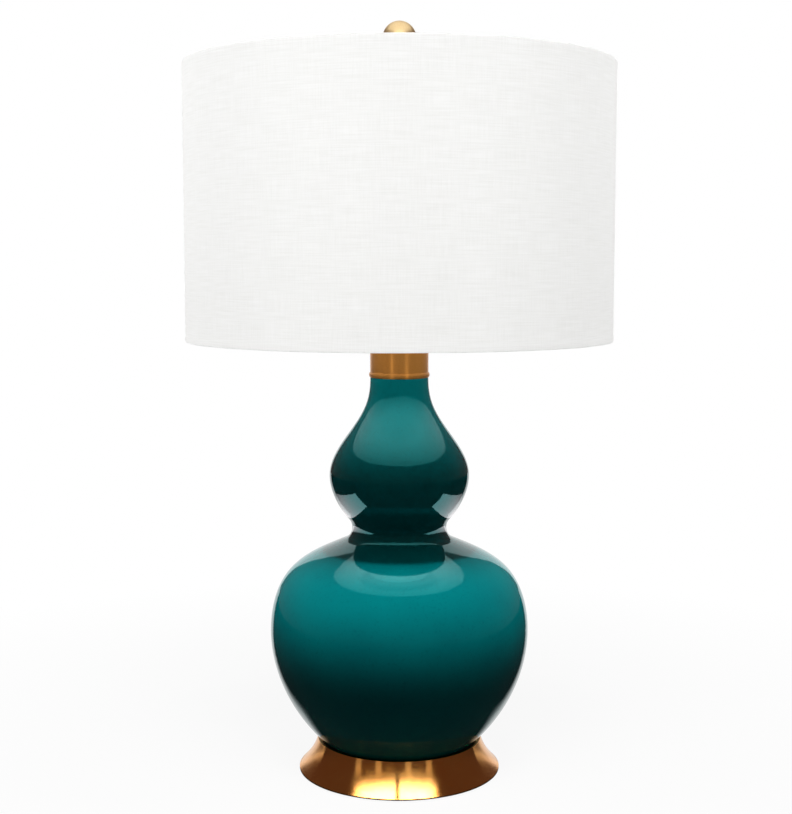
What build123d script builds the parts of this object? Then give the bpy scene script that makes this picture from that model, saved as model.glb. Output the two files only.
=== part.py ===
from build123d import *
import os
from math import cos, radians, sin, sqrt

os.makedirs("parts", exist_ok=True)

# A table lamp: a double-gourd ceramic body on a brass foot, under a linen drum shade.
# Millimetres. The origin is the middle of the felt's underside, +Z is up and -Y is the front.

# Clearances
seat_gap = 0.2  # between flat faces of pieces that turn or lift apart
slip_gap = 0.3  # radial, round pieces that slide or are set into one another
thread_gap = 0.05  # radial, at threads, pressed fits and the switch's bearing
lap_gap = 0.2  # between the two halves of the lap where a harp leg meets its ear

# Foot: a spun brass shell with a felt pad under it
felt_thickness = 1.5
felt_inset = 3.5
foot_radius = 92.0
foot_edge_height = 1.2
foot_height = 28.5
foot_brim = 13.0  # the flare leaves the edge towards a point this far in
foot_brim_rise = 12.0  # and this far up, and comes to the collar from that point
foot_wall = 1.6
foot_flange_width = 12.0
foot_lip_width = 2.3
foot_lip_gap = 3.2
foot_deck_depth = 3.0
gasket_thickness = 1.5
gasket_width = 9.0

# Cord inlet at the back of the foot
cord_bore_radius = 3.75
bushing_wall = 1.3
bushing_collar_width = 2.0
bushing_height = 11.0
bushing_inside = 8.0
bushing_outside = 9.0

# Gourd body: heights are from the ceramic's own foot, angles are the outline's direction there
body_foot_radius = 69.5
body_foot_angle = 42.4
lower_bulb_radius = 117.5
lower_bulb_height = 100.0
lower_shoulder_radius = 101.4
lower_shoulder_height = 154.9
waist_corner_radius = 33.8
waist_corner_height = 193.3
waist_angle_below = 149.4
waist_angle_above = 35.4
waist_round = 12.2
upper_bulb_radius = 63.2
upper_bulb_height = 247.1
upper_flare_radius = 29.2
upper_flare_height = 311.3
neck_radius = 26.3
body_height = 333.0
body_wall = 6.0
body_floor_hole_radius = 8.0
body_foot_recess = 1.5

# Neck cap: a brass tube that closes the ceramic's mouth
cap_height = 38.5
cap_wall = 1.5
cap_bead_height = 4.8
cap_bead_rise = 1.1
cap_spigot_depth = 5.0

# Rod through the body, and what clamps it
rod_radius = 4.9
rod_bore_radius = 3.3
rod_tail = 5.0
clamp_washer_radius = 20.0
clamp_washer_thickness = 2.0
lock_washer_radius = 8.0
lock_washer_thickness = 1.0
bottom_nut_width = 14.0
bottom_nut_thickness = 5.0
cap_nut_width = 17.0
cap_nut_thickness = 4.0

# Saddle and harp
saddle_thickness = 1.6
saddle_width = 12.0
saddle_rise = 8.0
saddle_bend = 4.0
ear_height = 14.0
lap_radius = 2.6
harp_leg_spacing = 71.0
harp_height = 229.0
harp_wire_radius = 2.2
harp_width = 116.0
harp_leg_straight = 34.0
harp_widest_height = 134.0
harp_boss_radius = 7.0
harp_boss_height = 6.5
stud_radius = 3.1
stud_length = 15.0
sleeve_length = 15.0
sleeve_wall = 1.1

# Socket, from the bulb's screw base outwards
screw_base_radius = 13.2
screw_play = 0.4
screw_shell_wall = 0.5
screw_shell_height = 24.0
liner_wall = 0.6
shell_wall = 0.7
shell_top_margin = 2.0
socket_cap_wall = 1.0
socket_cup_height = 13.0
socket_cup_round = 2.0
hub_radius = 7.5
hub_height = 5.4
set_screw_radius = 1.5
set_screw_length = 4.0
socket_body_height = 24.0
wire_well_radius = 6.0
wire_well_depth = 10.0
terminal_pocket_depth = 4.0
terminal_pocket_width = 9.0
terminal_pocket_height = 12.0
terminal_head_radius = 3.0
terminal_head_thickness = 1.5
terminal_shank_radius = 1.5
terminal_shank_length = 3.0
contact_thickness = 0.5
contact_width = 5.0
contact_length = 14.0
contact_rise = 2.2

# Turn switch on the front of the socket
switch_height = 17.5  # above the floor of the socket's cup
switch_shaft_radius = 2.0
switch_shaft_inner_end = 5.0
knob_radius = 6.5
knob_length = 10.0
knob_standoff = 6.0  # from the socket's shell to the knob
knob_skirt = 2.0  # solid outer face of the knob
knob_flutes = 16
knob_flute_radius = 0.8

# Bulb
bulb_length = 108.0
bulb_radius = 30.0
bulb_neck_angle = 76.0
bulb_glass_wall = 1.0
bulb_neck_depth = 10.0
screw_base_height = 21.0
screw_base_wall = 0.6
insulator_height = 3.2
insulator_small_radius = 5.0
insulator_large_radius = 10.0
tip_radius = 4.2
tip_height = 0.8

# Shade
shade_radius = 190.5
shade_height = 242.0
cloth_thickness = 0.55
shade_liner_wall = 0.55
shade_layer_gap = 0.05
ring_wire_radius = 1.6
hem_depth = 8.0
spider_drop = 3.6
spider_arms = 3
spider_first_arm = 90.0
arm_wire_radius = 1.6
arm_slit_gap = 0.6
washer_radius = 12.0
washer_thickness = 1.6
washer_bore_radius = 5.0
washer_overlap = 3.0

# Finial
finial_height = 41.4
finial_ball_radius = 15.0
finial_base_radius = 8.0
finial_base_thickness = 2.5
finial_neck_radius = 5.0
finial_bore_margin = 1.5
finial_edge_round = 0.8

# Heights of the seats, from the table up
foot_bottom = felt_thickness
foot_top = foot_bottom + foot_height
deck_top = foot_top - foot_deck_depth
deck_bottom = deck_top - foot_wall
body_seat = deck_top + gasket_thickness
body_top = body_seat + body_height
cap_top = body_top + cap_height
saddle_seat = cap_top + cap_nut_thickness
socket_seat = saddle_seat + saddle_thickness
cup_bottom = socket_seat + hub_height
cup_floor = cup_bottom + socket_cap_wall
socket_body_bottom = cup_floor + seat_gap
socket_body_top = socket_body_bottom + socket_body_height
screw_shell_top = socket_body_top + screw_shell_height
bulb_bottom = socket_body_top + contact_rise + seat_gap
lap_bottom = saddle_seat + saddle_rise
ear_top = lap_bottom + ear_height
harp_top = saddle_seat + harp_height
washer_bottom = harp_top + seat_gap
washer_top = washer_bottom + washer_thickness
finial_seat = washer_top + seat_gap
shade_top = washer_bottom + spider_drop
shade_bottom = shade_top - shade_height

# Radii that follow from the fits
lip_inner_radius = body_foot_radius + foot_lip_gap
collar_radius = lip_inner_radius + foot_lip_width
neck_inner_radius = neck_radius - body_wall
rod_hole_radius = rod_radius + slip_gap
rod_thread_radius = rod_radius + thread_gap
screw_shell_inner_radius = screw_base_radius + screw_play
screw_shell_radius = screw_shell_inner_radius + screw_shell_wall
liner_inner_radius = screw_shell_radius + slip_gap
liner_radius = liner_inner_radius + liner_wall
shell_inner_radius = liner_radius + slip_gap
shell_radius = shell_inner_radius + shell_wall
cup_inner_radius = shell_radius + slip_gap
cup_radius = cup_inner_radius + socket_cap_wall
shaft_hole_radius = switch_shaft_radius + thread_gap
sleeve_bore_radius = lap_radius + slip_gap
cloth_inner_radius = shade_radius - cloth_thickness
shade_liner_radius = cloth_inner_radius - shade_layer_gap
shade_liner_inner_radius = shade_liner_radius - shade_liner_wall
ring_radius = shade_liner_inner_radius - slip_gap - ring_wire_radius
top_ring_height = shade_top - cloth_thickness - shade_layer_gap - ring_wire_radius
bottom_ring_height = shade_bottom + cloth_thickness + shade_layer_gap + ring_wire_radius
arm_height = (washer_bottom + washer_top) / 2
leg_x = harp_leg_spacing / 2
wing_x = leg_x - lap_radius / 2
switch_z = cup_floor + switch_height
knob_start = shell_radius + knob_standoff
knob_end = knob_start + knob_length

# Planes that look out of the lamp's sides
front = Plane.XZ
back = Plane(origin=(0, 0, 0), x_dir=(-1, 0, 0), z_dir=(0, 1, 0))
right = Plane.YZ
left = Plane(origin=(0, 0, 0), x_dir=(0, -1, 0), z_dir=(-1, 0, 0))
upright = (Align.CENTER, Align.CENTER, Align.MIN)


def save(builder, name):
    """Label a finished piece and write it under its own name."""
    builder.part.label = name
    export_step(builder.part, f"parts/{name}.step")


def section(*points):
    """A closed outline of (radius, height) points, ready to be turned about the lamp's axis."""
    with BuildSketch(Plane.XZ) as outline:
        with BuildLine():
            Polyline(*points, close=True)
        make_face()
    return outline.sketch


def disc(radius, bottom, top, mode=Mode.ADD):
    """A cylinder on the lamp's axis, from one height to another."""
    with Locations((0, 0, bottom)):
        Cylinder(radius, top - bottom, align=upright, mode=mode)


def direction(angle):
    """A unit vector in a section, at an angle in degrees from outward."""
    return Vector(cos(radians(angle)), sin(radians(angle)))


def biarc_joint(start, start_way, end, end_way):
    """Where two tangent arcs meet on the way from start to end, with the directions given there."""
    span = end - start
    both = start_way + end_way
    turn = 2 * (1 - start_way.dot(end_way))
    if turn < 1e-9:
        reach = span.dot(span) / (4 * span.dot(end_way))
    else:
        reach = (sqrt(span.dot(both) ** 2 + turn * span.dot(span)) - span.dot(both)) / turn
    return (start + end + (start_way - end_way) * reach) * 0.5


def biarc(start, start_way, end, end_way):
    """Two tangent arcs from start to end, drawn in the plane of the line that is being built."""
    joint = biarc_joint(start, start_way, end, end_way)
    chord = (joint - start).normalized()
    joint_way = chord * (2 * chord.dot(start_way)) - start_way
    TangentArc(tuple(start), tuple(joint), tangent=tuple(start_way))
    TangentArc(tuple(joint), tuple(end), tangent=tuple(joint_way))


def foot_section():
    """The foot's outer outline, filled in to the axis."""
    edge_top = foot_bottom + foot_edge_height
    knee = (foot_radius - foot_brim, edge_top + foot_brim_rise)
    with BuildSketch(Plane.XZ) as outline:
        with BuildLine():
            Polyline((0, foot_bottom), (foot_radius, foot_bottom), (foot_radius, edge_top))
            Bezier((foot_radius, edge_top), knee, (collar_radius, foot_top))
            Polyline((collar_radius, foot_top), (0, foot_top), (0, foot_bottom))
        make_face()
    return outline.sketch


def foot_hollow_section():
    """The space inside the foot: its outline moved in and down by the wall, over the flange."""
    flange_top = foot_bottom + foot_wall
    with BuildSketch(Plane.XZ) as outline:
        with Locations((-foot_wall, -foot_wall)):
            add(foot_section())
        with Locations((0, flange_top)):
            Rectangle(foot_radius, deck_bottom - flange_top, align=Align.MIN, mode=Mode.INTERSECT)
    return outline.sketch


# Felt pad
with BuildPart() as felt_pad:
    disc(foot_radius - felt_inset, 0, felt_thickness)
save(felt_pad, "felt_pad")

# Brass foot: the turned form, hollowed from below
with BuildPart() as foot_form:
    revolve(foot_section(), axis=Axis.Z)

with BuildPart() as base_foot:
    add(foot_form.part)
    revolve(foot_hollow_section(), axis=Axis.Z, mode=Mode.SUBTRACT)
    disc(foot_radius - foot_flange_width, foot_bottom, foot_bottom + foot_wall, Mode.SUBTRACT)
    disc(lip_inner_radius, deck_top, foot_top, Mode.SUBTRACT)
    disc(rod_hole_radius, deck_bottom, deck_top, Mode.SUBTRACT)
    with BuildSketch(back):
        with Locations((0, bushing_height)):
            Circle(cord_bore_radius + bushing_wall + thread_gap)
    extrude(amount=foot_radius, mode=Mode.SUBTRACT)
save(base_foot, "base_foot")

# Cord bushing: a spigot through the foot's wall, with a collar that follows the flare outside
inlet_axis = Axis((0, 0, bushing_height), (0, 1, 0))
flare_at_bushing = max(point.Y for point, normal in foot_form.part.find_intersection_points(inlet_axis))
bushing_inner_end = flare_at_bushing - bushing_inside
bushing_outer_end = flare_at_bushing + bushing_outside
with BuildPart() as cord_bushing:
    with BuildSketch(back.offset(bushing_inner_end)):
        with Locations((0, bushing_height)):
            Circle(cord_bore_radius + bushing_wall + bushing_collar_width)
    extrude(amount=bushing_outer_end - bushing_inner_end)
    add(foot_form.part, mode=Mode.SUBTRACT)
    with BuildSketch(back.offset(bushing_inner_end)):
        with Locations((0, bushing_height)):
            Circle(cord_bore_radius + bushing_wall)
    extrude(amount=bushing_outer_end - bushing_inner_end)
    with BuildSketch(back.offset(bushing_inner_end)):
        with Locations((0, bushing_height)):
            Circle(cord_bore_radius)
    extrude(amount=bushing_outer_end - bushing_inner_end, mode=Mode.SUBTRACT)
save(cord_bushing, "cord_bushing")

# Gasket under the ceramic's foot
with BuildPart() as body_gasket:
    disc(body_foot_radius, deck_top, body_seat)
    disc(body_foot_radius - gasket_width, deck_top, body_seat, Mode.SUBTRACT)
save(body_gasket, "body_gasket")

# Ceramic body: turned solid, rounded at the waist, then hollowed from the mouth
waist_corner = (waist_corner_radius, body_seat + waist_corner_height)
with BuildPart() as gourd_body:
    with BuildSketch(Plane.XZ):
        with BuildLine():
            Polyline((0, body_top), (0, body_seat), (body_foot_radius, body_seat))
            Spline(
                (body_foot_radius, body_seat),
                (lower_bulb_radius, body_seat + lower_bulb_height),
                (lower_shoulder_radius, body_seat + lower_shoulder_height),
                waist_corner,
                tangents=(direction(body_foot_angle), direction(waist_angle_below)),
                tangent_scalars=(1, 1),
            )
            Spline(
                waist_corner,
                (upper_bulb_radius, body_seat + upper_bulb_height),
                (upper_flare_radius, body_seat + upper_flare_height),
                (neck_radius, body_top),
                tangents=(direction(waist_angle_above), direction(90)),
                tangent_scalars=(1, 1),
            )
            Line((neck_radius, body_top), (0, body_top))
        make_face()
    revolve(axis=Axis.Z)
    fillet(gourd_body.edges().filter_by_position(Axis.Z, waist_corner[1], waist_corner[1]), waist_round)
    mouth = gourd_body.faces().sort_by(Axis.Z)[-1]
    offset(amount=-body_wall, openings=mouth)
    disc(body_floor_hole_radius, body_seat, body_seat + body_wall, Mode.SUBTRACT)
    disc(body_foot_radius - gasket_width, body_seat, body_seat + body_foot_recess, Mode.SUBTRACT)
save(gourd_body, "gourd_body")

# Neck cap: a tube with a bead, a top plate and a spigot that sits in the ceramic's mouth
spigot_radius = neck_inner_radius - slip_gap
with BuildPart() as neck_cap:
    disc(neck_radius, body_top, cap_top)
    with BuildSketch(Plane.XZ):
        with BuildLine():
            bead_top = body_top + cap_bead_height
            bead_middle = body_top + cap_bead_height / 2
            inside = neck_radius - cap_wall
            crest = (neck_radius + cap_bead_rise, bead_middle)
            ThreePointArc((neck_radius, body_top), crest, (neck_radius, bead_top))
            Polyline((neck_radius, bead_top), (inside, bead_top), (inside, body_top), (neck_radius, body_top))
        make_face()
    revolve(axis=Axis.Z)
    disc(spigot_radius, body_top - cap_spigot_depth, body_top)
    disc(spigot_radius - cap_wall, body_top - cap_spigot_depth, body_top + cap_wall, Mode.SUBTRACT)
    disc(neck_radius - cap_wall, body_top + cap_wall, cap_top - cap_wall, Mode.SUBTRACT)
    disc(rod_hole_radius, cap_top - cap_wall, cap_top, Mode.SUBTRACT)
save(neck_cap, "neck_cap")

# Clamp washer, lock washer and nut under the foot's deck
lock_washer_top = deck_bottom - clamp_washer_thickness
bottom_nut_top = lock_washer_top - lock_washer_thickness
bottom_nut_bottom = bottom_nut_top - bottom_nut_thickness
with BuildPart() as clamp_washer:
    disc(clamp_washer_radius, lock_washer_top, deck_bottom)
    disc(rod_hole_radius, lock_washer_top, deck_bottom, Mode.SUBTRACT)
save(clamp_washer, "clamp_washer")

with BuildPart() as lock_washer:
    disc(lock_washer_radius, bottom_nut_top, lock_washer_top)
    disc(rod_hole_radius, bottom_nut_top, lock_washer_top, Mode.SUBTRACT)
save(lock_washer, "lock_washer")

with BuildPart() as bottom_nut:
    with BuildSketch(Plane.XY.offset(bottom_nut_bottom)):
        RegularPolygon(bottom_nut_width / 2, 6, major_radius=False)
        Circle(rod_thread_radius, mode=Mode.SUBTRACT)
    extrude(amount=bottom_nut_thickness)
save(bottom_nut, "bottom_nut")

# Hollow rod, from under the bottom nut to the top of the socket's hub
with BuildPart() as threaded_rod:
    disc(rod_radius, bottom_nut_bottom - rod_tail, cup_bottom)
    disc(rod_bore_radius, bottom_nut_bottom - rod_tail, cup_bottom, Mode.SUBTRACT)
save(threaded_rod, "threaded_rod")

with BuildPart() as cap_nut:
    with BuildSketch(Plane.XY.offset(cap_top)):
        RegularPolygon(cap_nut_width / 2, 6, major_radius=False)
        Circle(rod_thread_radius, mode=Mode.SUBTRACT)
    extrude(amount=cap_nut_thickness)
save(cap_nut, "cap_nut")

# Harp saddle: a bent strap with a half-round ear on each wing
strap_middle = saddle_seat + saddle_thickness / 2
with BuildPart() as harp_saddle:
    with BuildLine(Plane.XZ):
        FilletPolyline(
            (-wing_x, lap_bottom),
            (-wing_x, strap_middle),
            (wing_x, strap_middle),
            (wing_x, lap_bottom),
            radius=saddle_bend,
        )
    with BuildSketch(Plane.XY.offset(lap_bottom)):
        with Locations((-wing_x, 0)):
            Rectangle(saddle_thickness, saddle_width)
    sweep()
    with BuildSketch(Plane.XY.offset(lap_bottom)):
        with Locations((-leg_x, 0), (leg_x, 0)):
            Circle(lap_radius)
        Rectangle(harp_leg_spacing - lap_gap, saddle_width, mode=Mode.INTERSECT)
    extrude(amount=ear_height)
    disc(rod_hole_radius, saddle_seat, socket_seat, Mode.SUBTRACT)
save(harp_saddle, "harp_saddle")

# Socket cap: a cup on a hub that screws onto the rod
with BuildPart() as socket_cap:
    disc(cup_radius, cup_bottom, cup_bottom + socket_cup_height)
    fillet(socket_cap.edges().filter_by(GeomType.CIRCLE).sort_by(Axis.Z)[0], socket_cup_round)
    disc(hub_radius, socket_seat, cup_bottom)
    disc(cup_inner_radius, cup_floor, cup_bottom + socket_cup_height, Mode.SUBTRACT)
    disc(rod_thread_radius, socket_seat, cup_floor, Mode.SUBTRACT)
    with BuildSketch(back):
        with Locations((0, socket_seat + hub_height / 2)):
            Circle(set_screw_radius + thread_gap)
    extrude(amount=hub_radius, mode=Mode.SUBTRACT)
save(socket_cap, "socket_cap")

with BuildPart() as socket_set_screw:
    with BuildSketch(back.offset(rod_thread_radius)):
        with Locations((0, socket_seat + hub_height / 2)):
            Circle(set_screw_radius)
    extrude(amount=set_screw_length)
save(socket_set_screw, "socket_set_screw")

# Socket shell and its paper liner, both slipped over the switch's shaft
shell_top = screw_shell_top + shell_top_margin
with BuildPart() as socket_shell:
    disc(shell_radius, socket_body_bottom, shell_top)
    disc(shell_inner_radius, socket_body_bottom, shell_top, Mode.SUBTRACT)
    with BuildSketch(front):
        with Locations((0, switch_z)):
            Circle(switch_shaft_radius + slip_gap)
    extrude(amount=shell_radius, mode=Mode.SUBTRACT)
save(socket_shell, "socket_shell")

with BuildPart() as socket_liner:
    disc(liner_radius, socket_body_bottom, screw_shell_top)
    disc(liner_inner_radius, socket_body_bottom, screw_shell_top, Mode.SUBTRACT)
    with BuildSketch(front):
        with Locations((0, switch_z)):
            Circle(switch_shaft_radius + slip_gap)
    extrude(amount=liner_radius, mode=Mode.SUBTRACT)
save(socket_liner, "socket_liner")

# Insulating body, with a wire well below, a terminal pocket each side and the switch's bearing
pocket_x = screw_shell_radius - terminal_pocket_depth
terminal_z = socket_body_bottom + terminal_pocket_height / 2
with BuildPart() as socket_body:
    disc(screw_shell_radius, socket_body_bottom, socket_body_top)
    disc(wire_well_radius, socket_body_bottom, socket_body_bottom + wire_well_depth, Mode.SUBTRACT)
    with BuildSketch(Plane.XY.offset(socket_body_bottom)):
        with Locations((pocket_x, 0), (-pocket_x, 0)):
            Rectangle(2 * terminal_pocket_depth, terminal_pocket_width)
        Rectangle(2 * pocket_x, terminal_pocket_width, mode=Mode.SUBTRACT)
    extrude(amount=terminal_pocket_height, mode=Mode.SUBTRACT)
    with BuildSketch(right):
        with Locations((0, terminal_z)):
            Circle(terminal_shank_radius + thread_gap)
    extrude(amount=pocket_x, both=True, mode=Mode.SUBTRACT)
    with BuildSketch(front.offset(switch_shaft_inner_end)):
        with Locations((0, switch_z)):
            Circle(shaft_hole_radius)
    extrude(amount=screw_shell_radius, mode=Mode.SUBTRACT)
save(socket_body, "socket_body")

# Screw shell that takes the bulb, standing on the insulating body
with BuildPart() as screw_shell:
    disc(screw_shell_radius, socket_body_top, screw_shell_top)
    disc(screw_shell_inner_radius, socket_body_top, screw_shell_top, Mode.SUBTRACT)
save(screw_shell, "screw_shell")

# Centre contact: a strip folded up under the bulb's tip
with BuildPart() as center_contact:
    with BuildSketch(right.offset(-contact_width / 2)):
        with BuildLine():
            half = contact_length / 2
            low = socket_body_top
            high = socket_body_top + contact_rise
            Polyline(
                (-half, low),
                (half, low),
                (half, low + contact_thickness),
                (contact_thickness - half, low + contact_thickness),
                (contact_thickness - half, high - contact_thickness),
                (half / 2, high - contact_thickness),
                (half / 2, high),
                (-half, high),
                close=True,
            )
        make_face()
    extrude(amount=contact_width)
save(center_contact, "center_contact")

# Terminal screws, one each side
with BuildPart() as terminal_screws:
    for side in (right, left):
        with BuildSketch(side.offset(pocket_x - terminal_shank_length)):
            with Locations((0, terminal_z)):
                Circle(terminal_shank_radius)
        extrude(amount=terminal_shank_length)
        with BuildSketch(side.offset(pocket_x)):
            with Locations((0, terminal_z)):
                Circle(terminal_head_radius)
        extrude(amount=terminal_head_thickness)
save(terminal_screws, "terminal_screws")

# Turn switch: a shaft in the insulating body and a fluted knob outside the shell
with BuildPart() as switch_shaft:
    with BuildSketch(front.offset(switch_shaft_inner_end + seat_gap)):
        with Locations((0, switch_z)):
            Circle(switch_shaft_radius)
    extrude(amount=knob_end - knob_skirt - switch_shaft_inner_end - seat_gap)
save(switch_shaft, "switch_shaft")

with BuildPart() as switch_knob:
    with BuildSketch(front.offset(knob_start)):
        with Locations((0, switch_z)):
            Circle(knob_radius)
            with PolarLocations(knob_radius, knob_flutes):
                Circle(knob_flute_radius, mode=Mode.SUBTRACT)
    extrude(amount=knob_length)
    with BuildSketch(front.offset(knob_start)):
        with Locations((0, switch_z)):
            Circle(switch_shaft_radius + thread_gap)
    extrude(amount=knob_length - knob_skirt, mode=Mode.SUBTRACT)
save(switch_knob, "switch_knob")

# Bulb, from its tip up
insulator_bottom = bulb_bottom + tip_height
screw_base_bottom = insulator_bottom + insulator_height
screw_base_top = screw_base_bottom + screw_base_height
bulb_neck_radius = screw_base_radius - screw_base_wall - thread_gap
bulb_center = bulb_bottom + bulb_length - bulb_radius
with BuildPart() as bulb_tip:
    disc(tip_radius, bulb_bottom, insulator_bottom)
save(bulb_tip, "bulb_tip")

with BuildPart() as bulb_insulator:
    revolve(
        section(
            (0, insulator_bottom),
            (insulator_small_radius, insulator_bottom),
            (insulator_large_radius, screw_base_bottom),
            (0, screw_base_bottom),
        ),
        axis=Axis.Z,
    )
save(bulb_insulator, "bulb_insulator")

screw_base_floor = screw_base_bottom + screw_base_wall
with BuildPart() as bulb_screw_base:
    disc(screw_base_radius, screw_base_bottom, screw_base_top)
    disc(screw_base_radius - screw_base_wall, screw_base_floor, screw_base_top, Mode.SUBTRACT)
save(bulb_screw_base, "bulb_screw_base")

with BuildPart() as bulb_glass:
    with BuildSketch(Plane.XZ):
        with BuildLine():
            neck_bottom = Vector(bulb_neck_radius, screw_base_top - bulb_neck_depth)
            neck_top = Vector(bulb_neck_radius, screw_base_top)
            widest = Vector(bulb_radius, bulb_center)
            Line((0, neck_bottom.Y), neck_bottom)
            Line(neck_bottom, neck_top)
            biarc(neck_top, direction(bulb_neck_angle), widest, direction(90))
            CenterArc((0, bulb_center), bulb_radius, 0, 90)
            Line((0, bulb_center + bulb_radius), (0, neck_bottom.Y))
        make_face()
    revolve(axis=Axis.Z)
    offset(amount=-bulb_glass_wall, openings=bulb_glass.faces().sort_by(Axis.Z)[0])
save(bulb_glass, "bulb_glass")

# Harp: one bent wire, half-round at its feet, with a boss at its top
leg_bottom = lap_bottom + seat_gap
leg_top = lap_bottom + harp_leg_straight
boss_bottom = harp_top - harp_boss_height
with BuildPart() as harp:
    with BuildLine(Plane.XZ):
        foot_point = Vector(leg_x, ear_top + lap_gap)
        bend_point = Vector(leg_x, leg_top)
        widest_point = Vector(harp_width / 2, saddle_seat + harp_widest_height)
        crown_point = Vector(0, (boss_bottom + harp_top) / 2)
        Line(tuple(foot_point), tuple(bend_point))
        biarc(bend_point, direction(90), widest_point, direction(90))
        biarc(widest_point, direction(90), crown_point, direction(180))
    with BuildSketch(Plane.XY.offset(ear_top + lap_gap)):
        with Locations((leg_x, 0)):
            Circle(harp_wire_radius)
    sweep()
    with BuildSketch(Plane.XY.offset(leg_bottom)):
        with Locations((leg_x, 0)):
            Circle(lap_radius)
        with Locations((leg_x - lap_radius + lap_gap / 2, 0)):
            Rectangle(2 * lap_radius, 2 * lap_radius, mode=Mode.SUBTRACT)
    extrude(amount=ear_top + 2 * lap_radius - leg_bottom)
    mirror(about=Plane.YZ)
    disc(harp_boss_radius, boss_bottom, harp_top)
    disc(stud_radius + thread_gap, boss_bottom, harp_top, Mode.SUBTRACT)
save(harp, "harp")

with BuildPart() as harp_stud:
    disc(stud_radius, boss_bottom, harp_top + stud_length)
save(harp_stud, "harp_stud")

# Sleeves that lock the harp's feet to the saddle's ears
for side_name, side_x in (("left", -leg_x), ("right", leg_x)):
    with BuildPart() as harp_sleeve:
        with BuildSketch(Plane.XY.offset(leg_bottom)):
            with Locations((side_x, 0)):
                Circle(sleeve_bore_radius + sleeve_wall)
                Circle(sleeve_bore_radius, mode=Mode.SUBTRACT)
        extrude(amount=sleeve_length)
    save(harp_sleeve, f"harp_sleeve_{side_name}")

# Shade frame: two wire rings, and a spider of arms on a washer
for end_name, ring_height in (("top", top_ring_height), ("bottom", bottom_ring_height)):
    with BuildPart() as shade_ring:
        with Locations((0, 0, ring_height)):
            Torus(ring_radius, ring_wire_radius)
    save(shade_ring, f"shade_{end_name}_ring")

with BuildPart() as spider:
    disc(washer_radius, washer_bottom, washer_top)
    arm_start = washer_radius - washer_overlap
    with PolarLocations(0, spider_arms, start_angle=spider_first_arm):
        with Locations(Location((arm_start, 0, arm_height), (0, 90, 0))):
            Cylinder(arm_wire_radius, ring_radius - arm_start, align=upright)
    with Locations((0, 0, top_ring_height)):
        Torus(ring_radius, ring_wire_radius + shade_layer_gap, mode=Mode.SUBTRACT)
    disc(washer_bore_radius, washer_bottom, washer_top, Mode.SUBTRACT)
save(spider, "spider")

# Stiff liner behind the cloth
with BuildPart() as shade_liner:
    liner_bottom = shade_bottom + cloth_thickness + shade_layer_gap
    liner_top = shade_top - cloth_thickness - shade_layer_gap
    disc(shade_liner_radius, liner_bottom, liner_top)
    disc(shade_liner_inner_radius, liner_bottom, liner_top, Mode.SUBTRACT)
save(shade_liner, "shade_liner")

# Cloth round the liner, turned in over both rings, and slit where the arms pass
hem_radius = ring_radius - ring_wire_radius - shade_layer_gap
with BuildPart() as shade_cloth:
    disc(shade_radius, shade_bottom, shade_top)
    disc(cloth_inner_radius, shade_bottom + cloth_thickness, shade_top - cloth_thickness, Mode.SUBTRACT)
    disc(hem_radius, shade_bottom, shade_bottom + hem_depth)
    disc(hem_radius, shade_top - hem_depth, shade_top)
    disc(hem_radius - cloth_thickness, shade_bottom, shade_top, Mode.SUBTRACT)
    slit_height = arm_height + arm_wire_radius + arm_slit_gap - (shade_top - hem_depth)
    with PolarLocations(hem_radius, spider_arms, start_angle=spider_first_arm):
        with Locations((0, 0, shade_top - hem_depth)):
            Box(
                4 * cloth_thickness,
                2 * (arm_wire_radius + arm_slit_gap),
                slit_height,
                align=upright,
                mode=Mode.SUBTRACT,
            )
save(shade_cloth, "shade_cloth")

# Ball finial, bored for the stud
ball_center = finial_seat + finial_height - finial_ball_radius
bore_top = harp_top + stud_length + finial_bore_margin
with BuildPart() as finial:
    with Locations((0, 0, ball_center)):
        Sphere(finial_ball_radius)
    disc(finial_neck_radius, finial_seat, ball_center)
    disc(finial_base_radius, finial_seat, finial_seat + finial_base_thickness)
    circles = finial.edges().filter_by(GeomType.CIRCLE)
    fillet(circles.filter_by(lambda edge: edge.radius == finial_base_radius), finial_edge_round)
    disc(stud_radius + thread_gap, finial_seat, bore_top, Mode.SUBTRACT)
save(finial, "finial")
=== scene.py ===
import math

import bpy
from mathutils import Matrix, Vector, noise


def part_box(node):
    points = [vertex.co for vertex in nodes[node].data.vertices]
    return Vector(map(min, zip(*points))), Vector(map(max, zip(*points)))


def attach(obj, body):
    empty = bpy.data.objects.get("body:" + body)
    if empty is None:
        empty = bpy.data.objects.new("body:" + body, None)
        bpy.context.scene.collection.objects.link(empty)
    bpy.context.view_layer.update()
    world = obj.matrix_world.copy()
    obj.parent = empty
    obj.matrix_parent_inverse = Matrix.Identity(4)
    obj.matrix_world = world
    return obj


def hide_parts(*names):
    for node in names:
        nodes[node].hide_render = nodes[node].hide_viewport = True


# Looks of a table lamp: a glazed double-gourd body on a brass foot, under a linen drum shade.
# Metres. The lamp's axis is Z and -Y is the front.

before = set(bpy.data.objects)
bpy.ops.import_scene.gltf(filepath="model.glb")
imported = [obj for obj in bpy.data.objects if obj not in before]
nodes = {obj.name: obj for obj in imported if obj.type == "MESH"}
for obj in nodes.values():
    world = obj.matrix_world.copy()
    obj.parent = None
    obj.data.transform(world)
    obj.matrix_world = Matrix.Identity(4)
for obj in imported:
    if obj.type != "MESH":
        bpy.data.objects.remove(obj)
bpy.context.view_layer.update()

MM = 0.001
WHITE = (1.0, 1.0, 1.0, 1.0)

# Sockets of Blender's Mix node, whose names are the same for numbers and for colours
MIX_FACTOR = 0
MIX_NUMBERS = (2, 3)
MIX_COLOURS = (6, 7)
MIXED_NUMBER = 0
MIXED_COLOUR = 2

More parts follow.
